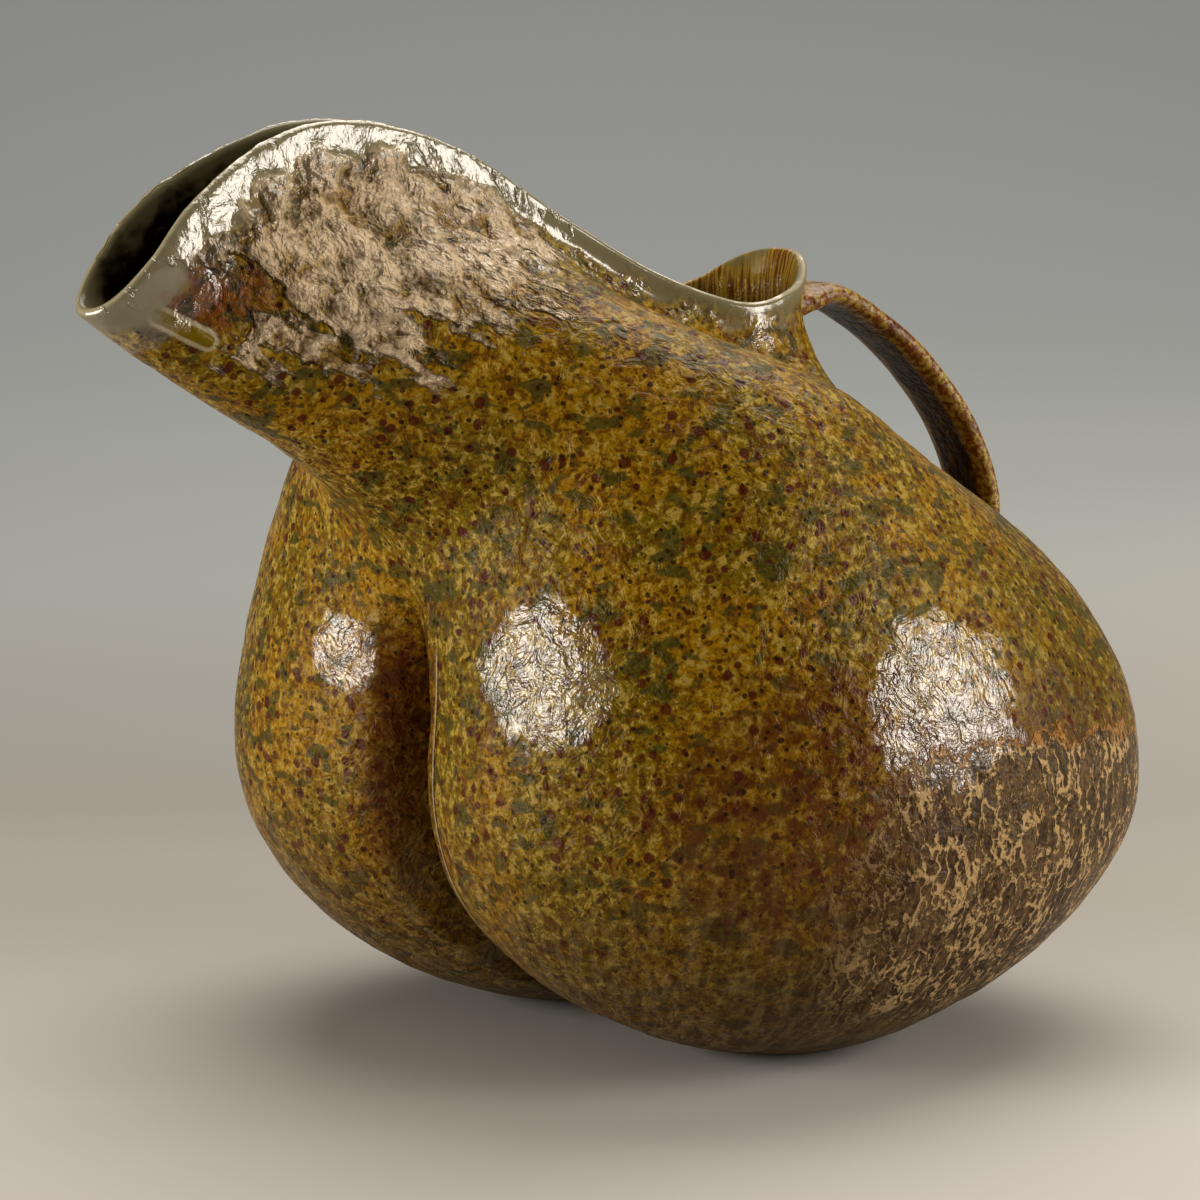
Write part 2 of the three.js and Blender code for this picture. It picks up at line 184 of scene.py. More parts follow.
# %% The swellings
front_swelling = dict(
    middle=(-14.5, -40.5, 72.5), length=70.5, width=66.5, drop=68, rise=121, tuck=22)
rear_swelling = dict(
    middle=(33.5, -39.5, 67.5), length=86.5, width=70.5, drop=56, rise=77.5, tuck=3)
swelling_blend = 55
cleft_blend, back_blend = 5, 80
cleft_fade = dict(start=-49, length=72)
upward_fade = dict(start=84, length=48)
underside_reach, underside_height = 63, 50
groove_depth, groove_half_width, groove_sharpness = 22, 13, 1.6
groove_top, groove_fade = 88, 20


def fade(value, start, length):
    """0 before the start, 1 past the end, and a smooth rise between."""
    t = np.clip((value - start) / length, 0, 1)
    return t * t * (3 - 2 * t)


def smooth_join(a, b, blend):
    """The lower of two rules, rounded where they come within the blend of each other."""
    h = np.maximum(blend - np.abs(a - b), 0) / blend
    return np.minimum(a, b) - h ** 3 * blend / 6


def outside_swelling(p, middle, length, width, drop, rise, tuck):
    """How far points lie outside one egg, which is blunter below and tucked in at its foot."""
    height = np.where(p[..., 2] > middle[2], rise, drop)
    depth = np.maximum(1 - p[..., 2] / middle[2], 0)
    q = np.stack([
        (p[..., 0] - middle[0] - tuck * depth ** 2) / length,
        (p[..., 1] - middle[1]) / width,
        (p[..., 2] - middle[2]) / height,
    ], -1)
    reach = np.linalg.norm(q, axis=-1)
    slopes = np.stack([q[..., 0] / length, q[..., 1] / width, q[..., 2] / height], -1)
    steepness = np.linalg.norm(slopes, axis=-1)
    return reach * (reach - 1) / np.maximum(steepness, 1e-9)


def outside_lobe(p):
    front = outside_swelling(p, **front_swelling)
    rear = outside_swelling(p, **rear_swelling)
    return smooth_join(front, rear, swelling_blend)


def outside_body(p):
    right = outside_lobe(p)
    left = outside_lobe(p * (1, -1, 1))
    under = np.clip(1 - p[..., 2] / underside_height, 0, 1)
    backward = fade(p[..., 0] - underside_reach * under, **cleft_fade)
    upward = fade(p[..., 2], **upward_fade)
    softness = np.maximum(backward, upward)
    body = smooth_join(right, left, cleft_blend + (back_blend - cleft_blend) * softness)
    nearness = np.maximum(1 - np.abs(p[..., 1]) / groove_half_width, 0)
    pressed = (1 - backward) * (1 - fade(p[..., 2], groove_top, groove_fade))
    return body + groove_depth * nearness ** groove_sharpness * pressed


# %% [markdown]
# ## Columns and rings
# The wall is drawn as columns that rise from the underside to the lip. Up to the shoulder a column
# is found by sending rays out of the body's heart until they leave the clay. From the shoulder a
# smooth arc carries it on to its own place on the lip.

# %% Stations round the neck
heart = np.array([5, 0, 72.0])
ray_step, halvings = 2, 20
# each station is a turn in degrees, 0 at the spout and 180 behind. The shoulder's value is a lift
# in degrees, the lip's are shares of the reach, half width and height, and the lean's are the way
# the neck heads at the lip and how hard it holds to the shoulder's own direction
shoulder = {0: 34, 40: 41, 65: 46, 90: 50, 135: 46, 180: 38}
spout_reach, mouth_half_width, crest_height = 172, 22, 240
lip = {
    0: (-1, 0, 0.8167), 12: (-0.9826, 0.3636, 0.8292), 25: (-0.9302, 0.5682, 0.8708),
    38: (-0.8488, 0.5227, 0.9292), 50: (-0.7093, 0.3273, 0.9833), 63: (-0.5523, 0.2273, 1),
    76: (-0.3605, 0.2273, 0.9667), 90: (-0.1919, 0.4091, 0.8938), 105: (-0.0349, 0.7273, 0.8271),
    120: (0.093, 1, 0.7937), 138: (0.2093, 0.9545, 0.8042), 158: (0.2733, 0.5455, 0.8313),
    180: (0.2907, 0, 0.84),
}
neck_lean = {
    0: (-0.8, 0, 0.6, 0.47), 25: (-0.66, 0, 0.7, 0.4), 38: (-0.5, 0, 0.85, 0.5),
    50: (-0.4, 0.02, 0.9, 0.6), 63: (-0.25, 0.04, 0.9, 0.66), 76: (-0.15, 0.04, 0.9, 0.7),
    90: (-0.05, 0.08, 0.95, 0.78), 105: (0, 0.15, 1, 0.9), 138: (0.28, 0.28, 0.95, 1),
    180: (0.27, 0, 0.92, 1.07),
}


def along_turn(stations, turns, part=None, odd=False):
    """A value for each turn, as a smooth curve through its stations, mirrored at both ends."""
    at = np.array(list(stations), float)
    value = np.array([v if part is None else v[part] for v in stations.values()], float)
    sign = -1 if odd else 1
    at = np.concatenate([[-at[1]], at, [2 * at[-1] - at[-2]]])
    value = np.concatenate([[sign * value[1]], value, [sign * value[-2]]])
    before, after = np.diff(at)[:-1], np.diff(at)[1:]
    climb = np.diff(value) / np.diff(at)
    slope = np.concatenate([[0], (climb[:-1] * after + climb[1:] * before) / (before + after), [0]])
    i = np.clip(np.searchsorted(at, turns, side="left") - 1, 1, len(at) - 3)
    span = at[i + 1] - at[i]
    t = (turns - at[i]) / span
    rising = t * t * (3 - 2 * t)
    return (value[i] * (1 - rising) + value[i + 1] * rising
            + slope[i] * span * t * (1 - t) ** 2 - slope[i + 1] * span * t * t * (1 - t))


def body_point(turn, lift):
    """Where rays from the heart leave the body, for arrays of turns and lifts in degrees."""
    turn, lift = np.radians(turn), np.radians(lift)
    ray = np.stack([-np.cos(turn) * np.cos(lift), -np.sin(turn) * np.cos(lift), np.sin(lift)], -1)
    inside = np.zeros(turn.shape)
    moving = np.ones(turn.shape, bool)
    while moving.any():
        moving &= outside_body(heart + ray * (inside + ray_step)[..., None]) < 0
        inside = np.where(moving, inside + ray_step, inside)
    outside = inside + ray_step
    for _ in range(halvings):
        middle = (inside + outside) / 2
        within = outside_body(heart + ray * middle[..., None]) < 0
        inside, outside = np.where(within, middle, inside), np.where(within, outside, middle)
    return heart + ray * ((inside + outside) / 2)[..., None]


# %% [markdown]
# ## The wall as one skin
# On the real pitcher the lobes, the neck and the lip are one fired wall, so one closed mesh is made
# of it: up the outside, over the round lip, and down the inside. Columns crowd towards the spout,
# where the form turns fastest.

# %% Outer face
column_count, lower_rings, neck_rings = 300, 150, 88
front_crowding = 0.35
wall_thickness, lip_thickness, lip_bead_height = 5, 3, 5
foot_height, small_lift = 1, 1.5

share = np.arange(column_count) / column_count
turns = 360 * share - np.degrees(front_crowding) * np.sin(2 * np.pi * share)
half_turns = np.where(turns <= 180, turns, 360 - turns)
sides = np.where(turns <= 180, -1, 1)
shoulder_lift = along_turn(shoulder, half_turns)

lower = np.linspace(0, 1, lower_rings + 1)[:, None]
lower_turns = np.broadcast_to(turns, (lower_rings + 1, column_count))
lower_face = body_point(lower_turns, -90 + (shoulder_lift + 90) * lower)
foot = lower_face[-1]
leaving = foot - body_point(turns, shoulder_lift - small_lift)
leaving /= np.linalg.norm(leaving, axis=-1, keepdims=True)
edge = np.stack([
    spout_reach * along_turn(lip, half_turns, 0),
    sides * mouth_half_width * along_turn(lip, half_turns, 1, odd=True),
    crest_height * along_turn(lip, half_turns, 2),
], -1)
arriving = np.stack([
    along_turn(neck_lean, half_turns, 0),
    sides * along_turn(neck_lean, half_turns, 1, odd=True),
    along_turn(neck_lean, half_turns, 2),
], -1)
arriving /= np.linalg.norm(arriving, axis=-1, keepdims=True)
pull = along_turn(neck_lean, half_turns, 3)
span = np.linalg.norm(edge - foot, axis=-1)


def neck_row(height):
    """The neck's outer face at one height, 0 at the shoulder and 1 at the lip, for every column."""
    height = np.broadcast_to(height, span.shape)[:, None]
    rising = height * height * (3 - 2 * height)
    return (foot * (1 - rising) + leaving * height * (1 - height) ** 2 * (span * pull)[:, None]
            + edge * rising - arriving * height * height * (1 - height) * span[:, None])


bead_start = 1 - lip_bead_height / span
neck_face = np.array([neck_row(bead_start * k / neck_rings) for k in range(1, neck_rings + 1)])
outer_face = np.concatenate([lower_face, neck_face, neck_row(1)[None]])

# the bend above the shoulder is smoothed by letting each ring near it give way to its neighbours
soft_rings, soft_passes = 42, 220
from_shoulder = (np.arange(len(outer_face)) - lower_rings) / soft_rings
yielding = (0.5 * np.exp(-from_shoulder ** 2))[1:-1, None, None]
for _ in range(soft_passes):
    between = (outer_face[2:] + outer_face[:-2]) / 2
    outer_face[1:-1] += (between - outer_face[1:-1]) * yielding
print("outer face", outer_face.shape[0], "rings by", column_count, "columns")

# %% Lip and inner face
ahead, behind = np.roll(outer_face, -1, 1), np.roll(outer_face, 1, 1)
above = np.concatenate([outer_face[1:], outer_face[-1:]])
below = np.concatenate([outer_face[:1], outer_face[:-1]])
outward = np.cross(ahead - behind, above - below)
outward /= np.linalg.norm(outward, axis=-1, keepdims=True) + 1e-12
outward[0] = (0, 0, -1)

lip_radius = lip_thickness / 2
arc_angles = np.radians(np.arange(0, 181, 30))
ring_skip = 3
up = outer_face[-1] - outer_face[-2]
up /= np.linalg.norm(up, axis=-1, keepdims=True)
out = outward[-1]
bead_centre = outer_face[-1] - (up + out) * lip_radius
lip_arc = np.array([
    bead_centre + (out * math.cos(a) + up * math.sin(a)) * lip_radius
    for a in arc_angles
])
ring_share = np.arange(len(outer_face)) / (len(outer_face) - 1)
lower_share = lower_rings / (len(outer_face) - 1)
thickness = wall_thickness + (lip_thickness - wall_thickness) * np.clip(
    (ring_share - lower_share) / (1 - lower_share), 0, 1)
inner_face = outer_face - outward * thickness[:, None, None]
inner_rings = [
    *range(len(outer_face) - 2, lower_rings, -ring_skip), *range(lower_rings, 4, -ring_skip), 2]
skin_rows = np.concatenate([outer_face[1:-1], lip_arc, inner_face[inner_rings]])
outside_count = len(outer_face) - 2
skin_rows[:outside_count, :, 2] = np.maximum(skin_rows[:outside_count, :, 2], foot_height)
poles = np.array([outer_face[0, 0], inner_face[0, 0]])
poles[0, 2] = max(poles[0, 2], foot_height)

# %% Attributes that follow the wall
step = np.linalg.norm(np.diff(skin_rows, axis=0), axis=-1)
travel = np.concatenate([np.zeros((1, column_count)), np.cumsum(step, 0)])
lip_row = outside_count + len(arc_angles) // 2
from_lip = travel - travel[lip_row]
lip_gap = np.abs(from_lip)
# run is each point's place on a plain cylinder, so that noise read there can be drawn out down
# the wall, as runs of glaze are
run_radius = 90
run = np.stack([
    run_radius * np.cos(np.radians(turns)) * np.ones_like(lip_gap),
    run_radius * np.sin(np.radians(turns)) * np.ones_like(lip_gap),
    from_lip,
], -1)
inside = np.repeat((np.arange(len(skin_rows)) > lip_row).astype(float), column_count)

# the middle of the pitcher's length, and the height of its foot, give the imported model's frame
offset = np.array([24.8294, 0, -foot_height])


def to_metres(points):
    return (points + offset) / 1000


skin_points = to_metres(np.concatenate([skin_rows.reshape(-1, 3), poles]))
print("wall from", skin_points.min(0).round(4), "to", skin_points.max(0).round(4))

# %% Skin mesh
def skin(name, points, rows, columns, pole_numbers):
    """A closed tube of rings with a fan at either end, its faces pointing outwards."""
    ring = np.arange(rows - 1)[:, None] * columns
    column = np.arange(columns)[None, :]
    after = (column + 1) % columns
    above = ring + columns
    quads = np.stack([ring + column, ring + after, above + after, above + column], -1)
    faces = quads.reshape(-1, 4).tolist()
    last = (rows - 1) * columns
    start, end = pole_numbers
    for c in range(columns):
        d = (c + 1) % columns
        faces += [(start, d, c), (end, last + c, last + d)]
    mesh = bpy.data.meshes.new(name)
    mesh.from_pydata(points, [], faces)
    mesh.update()
    a, b, c = (points[[f[k] for f in faces]] for k in (0, 1, 2))
    if np.einsum("ij,ij->", a, np.cross(b, c)) < 0:
        mesh.flip_normals()
    mesh.polygons.foreach_set("use_smooth", [True] * len(mesh.polygons))
    piece = bpy.data.objects.new(name, mesh)
    bpy.context.scene.collection.objects.link(piece)
    return piece


def mark(mesh, name, values):
    """Keeps one value for each point of a mesh, as an attribute that node trees can read."""
    kind, field = ("FLOAT_VECTOR", "vector") if np.ndim(values) == 2 else ("FLOAT", "value")
    attribute = mesh.attributes.new(name, kind, "POINT")
    attribute.data.foreach_set(field, np.ascontiguousarray(values, np.float32).ravel())


row_count = len(skin_rows)
ringed = row_count * column_count
wall = skin("pitcher_wall", skin_points, row_count, column_count, (ringed, ringed + 1))


def with_poles(values):
    """A value for each ring and column, with the two poles' own added at the end."""
    values = np.asarray(values)
    flat = values.reshape(ringed, *values.shape[2:])
    return np.concatenate([flat, values[0].mean(0)[None], values[-1].mean(0)[None]])


mark(wall.data, "lip_gap", with_poles(lip_gap) / 1000)
mark(wall.data, "run", with_poles(run) / 1000)
mark(wall.data, "inside", np.append(inside, [0, 1]))
print("wall has", len(wall.data.polygons), "faces")

# %% [markdown]
# ## Where the kiln left its marks
# Wood ash settles thickest on the neck's shoulders, the glaze runs in a net below a ledge round the
# back of the lobes, and the foot stays drier. Here and there the glaze pooled wet and glassy. Each
# such place is a soft mask kept on the wall's points, so that the relief and the glaze can both
# read it. Most masks are the same on both sides; the wet places are each side's own.

# %% Masks
place = skin_points * 1000
x, y, z = place.T
folded = np.stack([x, -np.abs(y), z], -1)


def patch(middle, reach, points=folded):
    """1 near a place and 0 beyond its reach, in millimetres, on both sides unless told."""
    return 1 - fade(np.linalg.norm((points - middle) / reach, axis=-1), 0.5, 1)


def along(start, end):
    """The distance of every point from a straight line between two places."""
    start, end = np.array(start), np.array(end)
    reach = np.clip((place - start) @ (end - start) / np.sum((end - start) ** 2), 0, 1)
    return np.linalg.norm(place - start - reach[:, None] * (end - start), axis=-1)


ash = patch((-79, -16, 214), (62, 40, 32))
warm = np.maximum(patch((-4, -104, 74), (40, 60, 36)), patch((40, -110, 92), (70, 60, 14)) * 0.5)
ledge = z - (34 + 51 * fade(x, -30, 52))
middle_of_back = fade(x, 40, 50) * (1 - fade(np.abs(y), 20, 40))
veins = fade(x, -24, 64) * fade(z, 4, 22) * (1 - 0.6 * middle_of_back)
dry_foot = 1 - fade(z, 6, 84)
lip_band = (1 - fade(with_poles(lip_gap), 12, 12)) * (1 - 0.6 * fade(x, -10, 40))
glossy = np.maximum.reduce([
    patch((-54, -57, 107), (18, 20, 18), place) * 0.88,
    patch((30, -110, 98), (25, 40, 20), place) * 0.88,
    patch((-54, 22, 103), (10, 11, 11), place) * 0.85,
    patch((-36, -16, 216), (34, 26, 16)) * 0.8,
    lip_band,
])
drip = along((-133, -11, 195), (-120, -13, 188.6))
scorch = patch((-122, -13, 199), (20, 12, 9))
# painted shade: the cleft's crease is darkened in colour where shade falls deep in it
crease = (1 - fade(np.abs(y), 6, 16)) * (1 - fade(x, -52, 26)) * (1 - fade(z, 96, 30))
# where the seam's pale line, partly painted highlight, and its painted shade are drawn
seam_here = (1 - fade(x, -44, 12)) * (1 - fade(z, 104, 6))
outer = 1 - np.append(inside, [0, 1])
mark(wall.data, "ash", ash * (1 - scorch) * outer)
mark(wall.data, "warm", warm * outer)
mark(wall.data, "veins", veins * outer)
mark(wall.data, "ledge", ledge / 1000)
mark(wall.data, "dry", dry_foot * outer)
mark(wall.data, "gloss", glossy)
mark(wall.data, "scorch", scorch * outer)
mark(wall.data, "drip", np.where(outer > 0, drip, 10) / 1000)
mark(wall.data, "crease", crease * outer)
mark(wall.data, "seam_here", seam_here * outer)

# %% [markdown]
# ## Relief in the clay and glaze
# Coil-built walls keep shallow dimples from the fingers, and thick ash glaze sets in lumps. A
# Geometry Nodes tree moves each point along its normal by soft noise. Noise needs no drawing, and
# the masks keep each kind of relief where it belongs.

# %% Geometry tree helpers
def geometry_tree(name, inputs):
    tree = bpy.data.node_groups.new(name, "GeometryNodeTree")
    tree.interface.new_socket("Geometry", in_out="INPUT", socket_type="NodeSocketGeometry")
    tree.interface.new_socket("Geometry", in_out="OUTPUT", socket_type="NodeSocketGeometry")
    for label, kind in inputs.items():
        tree.interface.new_socket(label, in_out="INPUT", socket_type="NodeSocket" + kind)
    desk = Desk(tree)
    return desk, desk.add("NodeGroupInput")


def close_tree(desk, given, geometry):
    realized = desk.add("GeometryNodeRealizeInstances", {}, {"Geometry": geometry})
    glazed = desk.add("GeometryNodeSetMaterial", {}, {
        "Geometry": realized, "Material": given["Glaze"]})
    desk.add("NodeGroupOutput", {}, {"Geometry": glazed})


def grow(piece, desk, values):
    """Runs the tree on a piece and keeps its result as a plain mesh."""
    modifier = piece.modifiers.new("growth", "NODES")
    modifier.node_group = desk.tree
    for item in desk.tree.interface.items_tree:
        if item.in_out == "INPUT" and item.name in values:
            modifier[item.identifier] = values[item.name]
    piece.data.update()
    depsgraph = bpy.context.evaluated_depsgraph_get()
    result = bpy.data.meshes.new_from_object(
        piece.evaluated_get(depsgraph), preserve_all_data_layers=True, depsgraph=depsgraph)
    piece.modifiers.remove(modifier)
    result.name = piece.name
    piece.data = result
    result.polygons.foreach_set("use_smooth", [True] * len(result.polygons))
    result.update()
    print(piece.name, "has", len(result.vertices), "points")


def read(desk, name, kind="FLOAT"):
    return desk.add("GeometryNodeInputNamedAttribute", {"data_type": kind}, {"Name": name})


# %% Relief tree
relief, given = geometry_tree("glaze relief", {
    "Dimple Depth": "Float", "Lump Height": "Float", "Crust Height": "Float",
    "Drip Height": "Float", "Glaze": "Material",
})
position = relief.add("GeometryNodeInputPosition")
outside_mask = 1 - read(relief, "inside")
height = relief.add("ShaderNodeSeparateXYZ", {}, {0: position})["Z"]
off_board = height.rise(0.001, 0.008)
dimples = relief.noise(position, 30, 1.5) - 0.5
lumps = relief.noise(position, 95, 2.0) - 0.5
crust = relief.noise(position, 130, 3.0, 0.65, 0.5) - 0.45
lift = (
    dimples * given["Dimple Depth"] + lumps * given["Lump Height"]
    + crust * given["Crust Height"] * read(relief, "ash")
    + read(relief, "drip").rise(0.0008, 0.0026, 1, 0) * given["Drip Height"]
)
lip_quiet = read(relief, "lip_gap").rise(0.0, 0.012, 0.25, 1)
lift = lift * outside_mask * off_board * lip_quiet
offset_by = relief.add("ShaderNodeVectorMath", {"operation": "SCALE"}, {
    0: relief.add("GeometryNodeInputNormal"), "Scale": lift})
moved = relief.add("GeometryNodeSetPosition", {}, {
    "Geometry": given["Geometry"], "Offset": offset_by})
close_tree(relief, given, moved)

# %% [markdown]
# ## Glaze
# The glaze is one iron-bearing ash glaze that breaks from khaki to ochre where it lies thin and
# pools to dark red-brown spots. The colours are set first, then noise at several sizes mixes them:
# spots of a millimetre or two, clouds of a centimetre, and broad warm and green areas. Its surface
# is satin, and where it pooled it turns glassy, so two shaders that share one bump are mixed.

# %% Glaze colours
def colour(red, green, blue):
    """A colour given as it looks on screen, 0 to 255, as the linear colour that shaders take."""
    def linear(v):
        v /= 255
        return v / 12.92 if v <= 0.04045 else ((v + 0.055) / 1.055) ** 2.4
    return (linear(red), linear(green), linear(blue), 1)


ochre = colour(140, 104, 2)
olive = colour(106, 86, 0)
brown = colour(96, 46, 0)
pale_khaki = colour(160, 134, 58)
dark_green = colour(60, 56, 12)
iron_red = colour(64, 16, 0)
iron_dark = colour(24, 6, 0)
# painted shade for the cleft's crease
painted_crease_shade = colour(70, 22, 0)
# pale ash, partly painted sheen; also the colour of the seam's pale line
ash_pink_and_sheen = colour(202, 178, 144)
ash_brown = colour(104, 80, 46)
grey_olive = colour(104, 98, 70)
lip_cream = colour(168, 158, 128)
dry_umber = colour(66, 44, 22)
dry_pale = colour(104, 86, 58)
inside_olive = colour(150, 124, 40)
# painted shade inside the neck towards the spout
painted_inner_shade = colour(18, 10, 5)
vein_tan = colour(170, 140, 96)
vein_dark = colour(40, 26, 14)
vein_grey = colour(92, 70, 44)
ledge_orange = colour(170, 118, 58)
warm_brown = colour(74, 32, 0)
handle_dark = colour(46, 22, 2)


def material(name):
    made = bpy.data.materials.new(name)
    made.use_nodes = True
    return made, Desk(made.node_tree)


satin_gloss, wet_roughness, wet_index = 0.06, 0.12, 1.8


def surface(desk, base, roughness, height, wetness):
    """A satin glaze that gives way to a wet, glassy one as wetness goes from 0 to 1."""
    bump = desk.add("ShaderNodeBump", {}, {"Height": height, "Distance": 1.0, "Strength": 1.0})
    satin = desk.add("ShaderNodeBsdfPrincipled", {}, {
        "Base Color": base, "Roughness": roughness, "Normal": bump,
        "Specular IOR Level": satin_gloss})
    wet = desk.add("ShaderNodeBsdfPrincipled", {}, {
        "Base Color": base, "Roughness": wet_roughness, "Normal": bump, "IOR": wet_index})
    mixed = desk.add("ShaderNodeMixShader", {}, {0: wetness, 1: satin, 2: wet})
    desk.add("ShaderNodeOutputMaterial", {}, {"Surface": mixed})


# %% Wall glaze
def attribute(desk, name, output="Fac"):
    return desk.add("ShaderNodeAttribute", {"attribute_name": name})[output]


def iron_spots(desk, place, scale, share, wander=0.0012):
    """1 in the middle of a round spot, 0 between spots; share is how many cells hold one."""
    shake = desk.noise(place, scale * 1.4, 1.5)["Color"].stretch(wander, wander, wander)
    shaken = place.shifted(shake)
    cell = desk.add("ShaderNodeTexVoronoi", {}, {"Vector": shaken, "Scale": scale})
    lot = desk.add("ShaderNodeSeparateXYZ", {}, {0: cell["Color"]})
    reach = lot["X"] * 0.2 + 0.2
    return ((reach - cell["Distance"]) * 12).within() * lot["Y"].rise(1 - share, 1.02 - share)


wall_glaze, desk = material("iron ash glaze")
point = desk.add("ShaderNodeTexCoord")["Object"]
axes = desk.add("ShaderNodeSeparateXYZ", {}, {0: point})
run_at = attribute(desk, "run", "Vector")
gap = attribute(desk, "lip_gap")
ash_here = attribute(desk, "ash")
ledge_here = attribute(desk, "ledge")
dry_here = attribute(desk, "dry")
inside_here = attribute(desk, "inside")
gloss_here = attribute(desk, "gloss")
drip_here = attribute(desk, "drip")

grain = desk.noise(point, 1300, 2.0, 0.6)
fine = desk.noise(point, 620, 3.0, 0.65, 0.3)
middling = desk.noise(point, 230, 3.0, 0.6, 0.5)
cloud = desk.noise(point, 95, 2.5, 0.55)
broad = desk.noise(point, 26, 2.0)
blob = desk.noise(point.stretch(0.8, 0.8, 1.25), 170, 2.0, 0.5, 0.4)
streak = desk.noise(run_at.stretch(1, 1, 0.2), 360, 3.0, 0.65)
spot = iron_spots(desk, point, 240, 0.7)
small_spot = iron_spots(desk, point, 480, 0.5, 0.0006)

# clouds of ochre and olive, broken by khaki specks, brown smears and green blobs
ground = desk.blend((broad * 0.6 + cloud * 0.4).rise(0.42, 0.58), ochre, olive)
ground = desk.blend(middling.rise(0.54, 0.66) * 0.5, ground, brown)
mottle = desk.noise(point, 440, 2.5, 0.6, 0.5) + (cloud - 0.5) * 0.25
ground = desk.blend(mottle.rise(0.38, 0.5, 0.7, 0), ground, warm_brown)
ground = desk.blend(mottle.rise(0.54, 0.62) * 0.8, ground, pale_khaki)
ground = desk.blend(blob.rise(0.54, 0.63) * 0.85, ground, dark_green)
ground = desk.blend((grain * 0.5 + fine * 0.5).rise(0.4, 0.5, 0.5, 0), ground, iron_dark)
# painted shade darkens the cleft's crease
ground = desk.blend(attribute(desk, "crease") * 0.85, ground, painted_crease_shade)
warm_here = (attribute(desk, "warm") + (cloud - 0.5) * 1.4 + (broad - 0.5) * 0.8).rise(0.35, 0.75)
ground = desk.blend(warm_here * (middling.rise(0.4, 0.58) * 0.5 + 0.3), ground, warm_brown)
ground = desk.blend(axes["X"].rise(0.02, 0.1) * streak.rise(0.5, 0.6) * 0.6, ground, warm_brown)
# the back is darkened towards green, partly as the glaze's streaks and partly as painted shade
ground = desk.blend(axes["X"].rise(0.02, 0.07) * 0.25, ground, dark_green)
spotted = desk.blend(small_spot * 0.85, desk.blend(spot * 0.9, ground, iron_red), iron_dark)

# the dry foot, with its streaks, and the runs below the ledge
dried = desk.blend(streak.rise(0.45, 0.6), dry_umber, dry_pale)
footed = desk.blend(dry_here * 0.7, spotted, dried)
ragged_ledge = (
    ledge_here + (cloud - 0.5) * 0.024 + (middling - 0.5) * 0.014 + (broad - 0.5) * 0.04)
zone = attribute(desk, "veins")
veins_here = (zone * 1.3 + (cloud - 0.5) * 0.6 + (broad - 0.5) * 0.5 - 0.1).within()
veins_here = veins_here * zone.rise(0, 0.2)
below_ledge = ragged_ledge.rise(-0.002, 0.001, 1, 0) * veins_here
cell_place = run_at.stretch(1, 1, 0.32).shifted(
    desk.noise(point, 220, 3.0)["Color"].stretch(0.005, 0.005, 0.003))
cell_edge = desk.add("ShaderNodeTexVoronoi", {"feature": "DISTANCE_TO_EDGE"}, {
    "Vector": cell_place, "Scale": 300})["Distance"]
vein = (((cloud - 0.5) * 0.4 + (fine - 0.5) * 0.5 + 0.115 - cell_edge) * 10).within()
between = desk.blend((streak * 0.5 + fine * 0.5).rise(0.42, 0.6), vein_dark, vein_grey)
runs = desk.blend(vein * (veins_here * 0.7 + 0.3), between, vein_tan)
veined = desk.blend(below_ledge * 0.85, footed, runs)
above_ledge = ragged_ledge.rise(0.003, 0.009, 1, 0) * ragged_ledge.rise(-0.001, 0.001) * veins_here
veined = desk.blend(above_ledge * 0.35, veined, warm_brown)
ledge_line = (1 - ragged_ledge.abs() / 0.0018).within() * axes["X"].rise(0.008, 0.03)
veined = desk.blend(ledge_line * 0.85, veined, ledge_orange)

# ash crust on the neck, paler on its lumps, the pale partly painted sheen, with tongues that run
# down
crust = desk.noise(point, 130, 3.0, 0.65, 0.5)
tongue = desk.noise(run_at.stretch(1, 1, 0.3), 120, 3.0, 0.6)
ash_edge = (ash_here + (tongue - 0.5) * 2.2 + (middling - 0.5) * 0.9).rise(0.4, 0.6)
ash_edge = ash_edge * ash_here.rise(0.02, 0.2)
ash_share = ash_edge * (cloud * 0.4 + crust * 0.35 + middling * 0.25).rise(0.42, 0.53, 0.12, 0.92)
pits = desk.add("ShaderNodeTexVoronoi", {"feature": "SMOOTH_F1"}, {
    "Vector": point.shifted(desk.noise(point, 200, 2.0)["Color"].stretch(0.004, 0.004, 0.004)),
    "Scale": 330, "Smoothness": 0.3})["Distance"]
crusted = (crust * 0.5 + fine * 0.3 + pits * 0.2).rise(0.36, 0.52)
crusted = desk.blend(crusted, ash_brown, ash_pink_and_sheen)
ashen = desk.blend(ash_share, veined, crusted)
scorched = desk.blend(middling.rise(0.42, 0.56), iron_dark, brown)
ashen = desk.blend(attribute(desk, "scorch") * cloud.rise(0.3, 0.5) * 0.85, ashen, scorched)

# the drip under the spout, the seam by the cleft with its painted highlight and painted shade, the
# lip and the inside
dripped = desk.blend(drip_here.rise(0.0024, 0.0032, 0.75, 0), ashen, lip_cream)
dripped = desk.blend(drip_here.rise(0.0014, 0.002, 1, 0), dripped, olive)
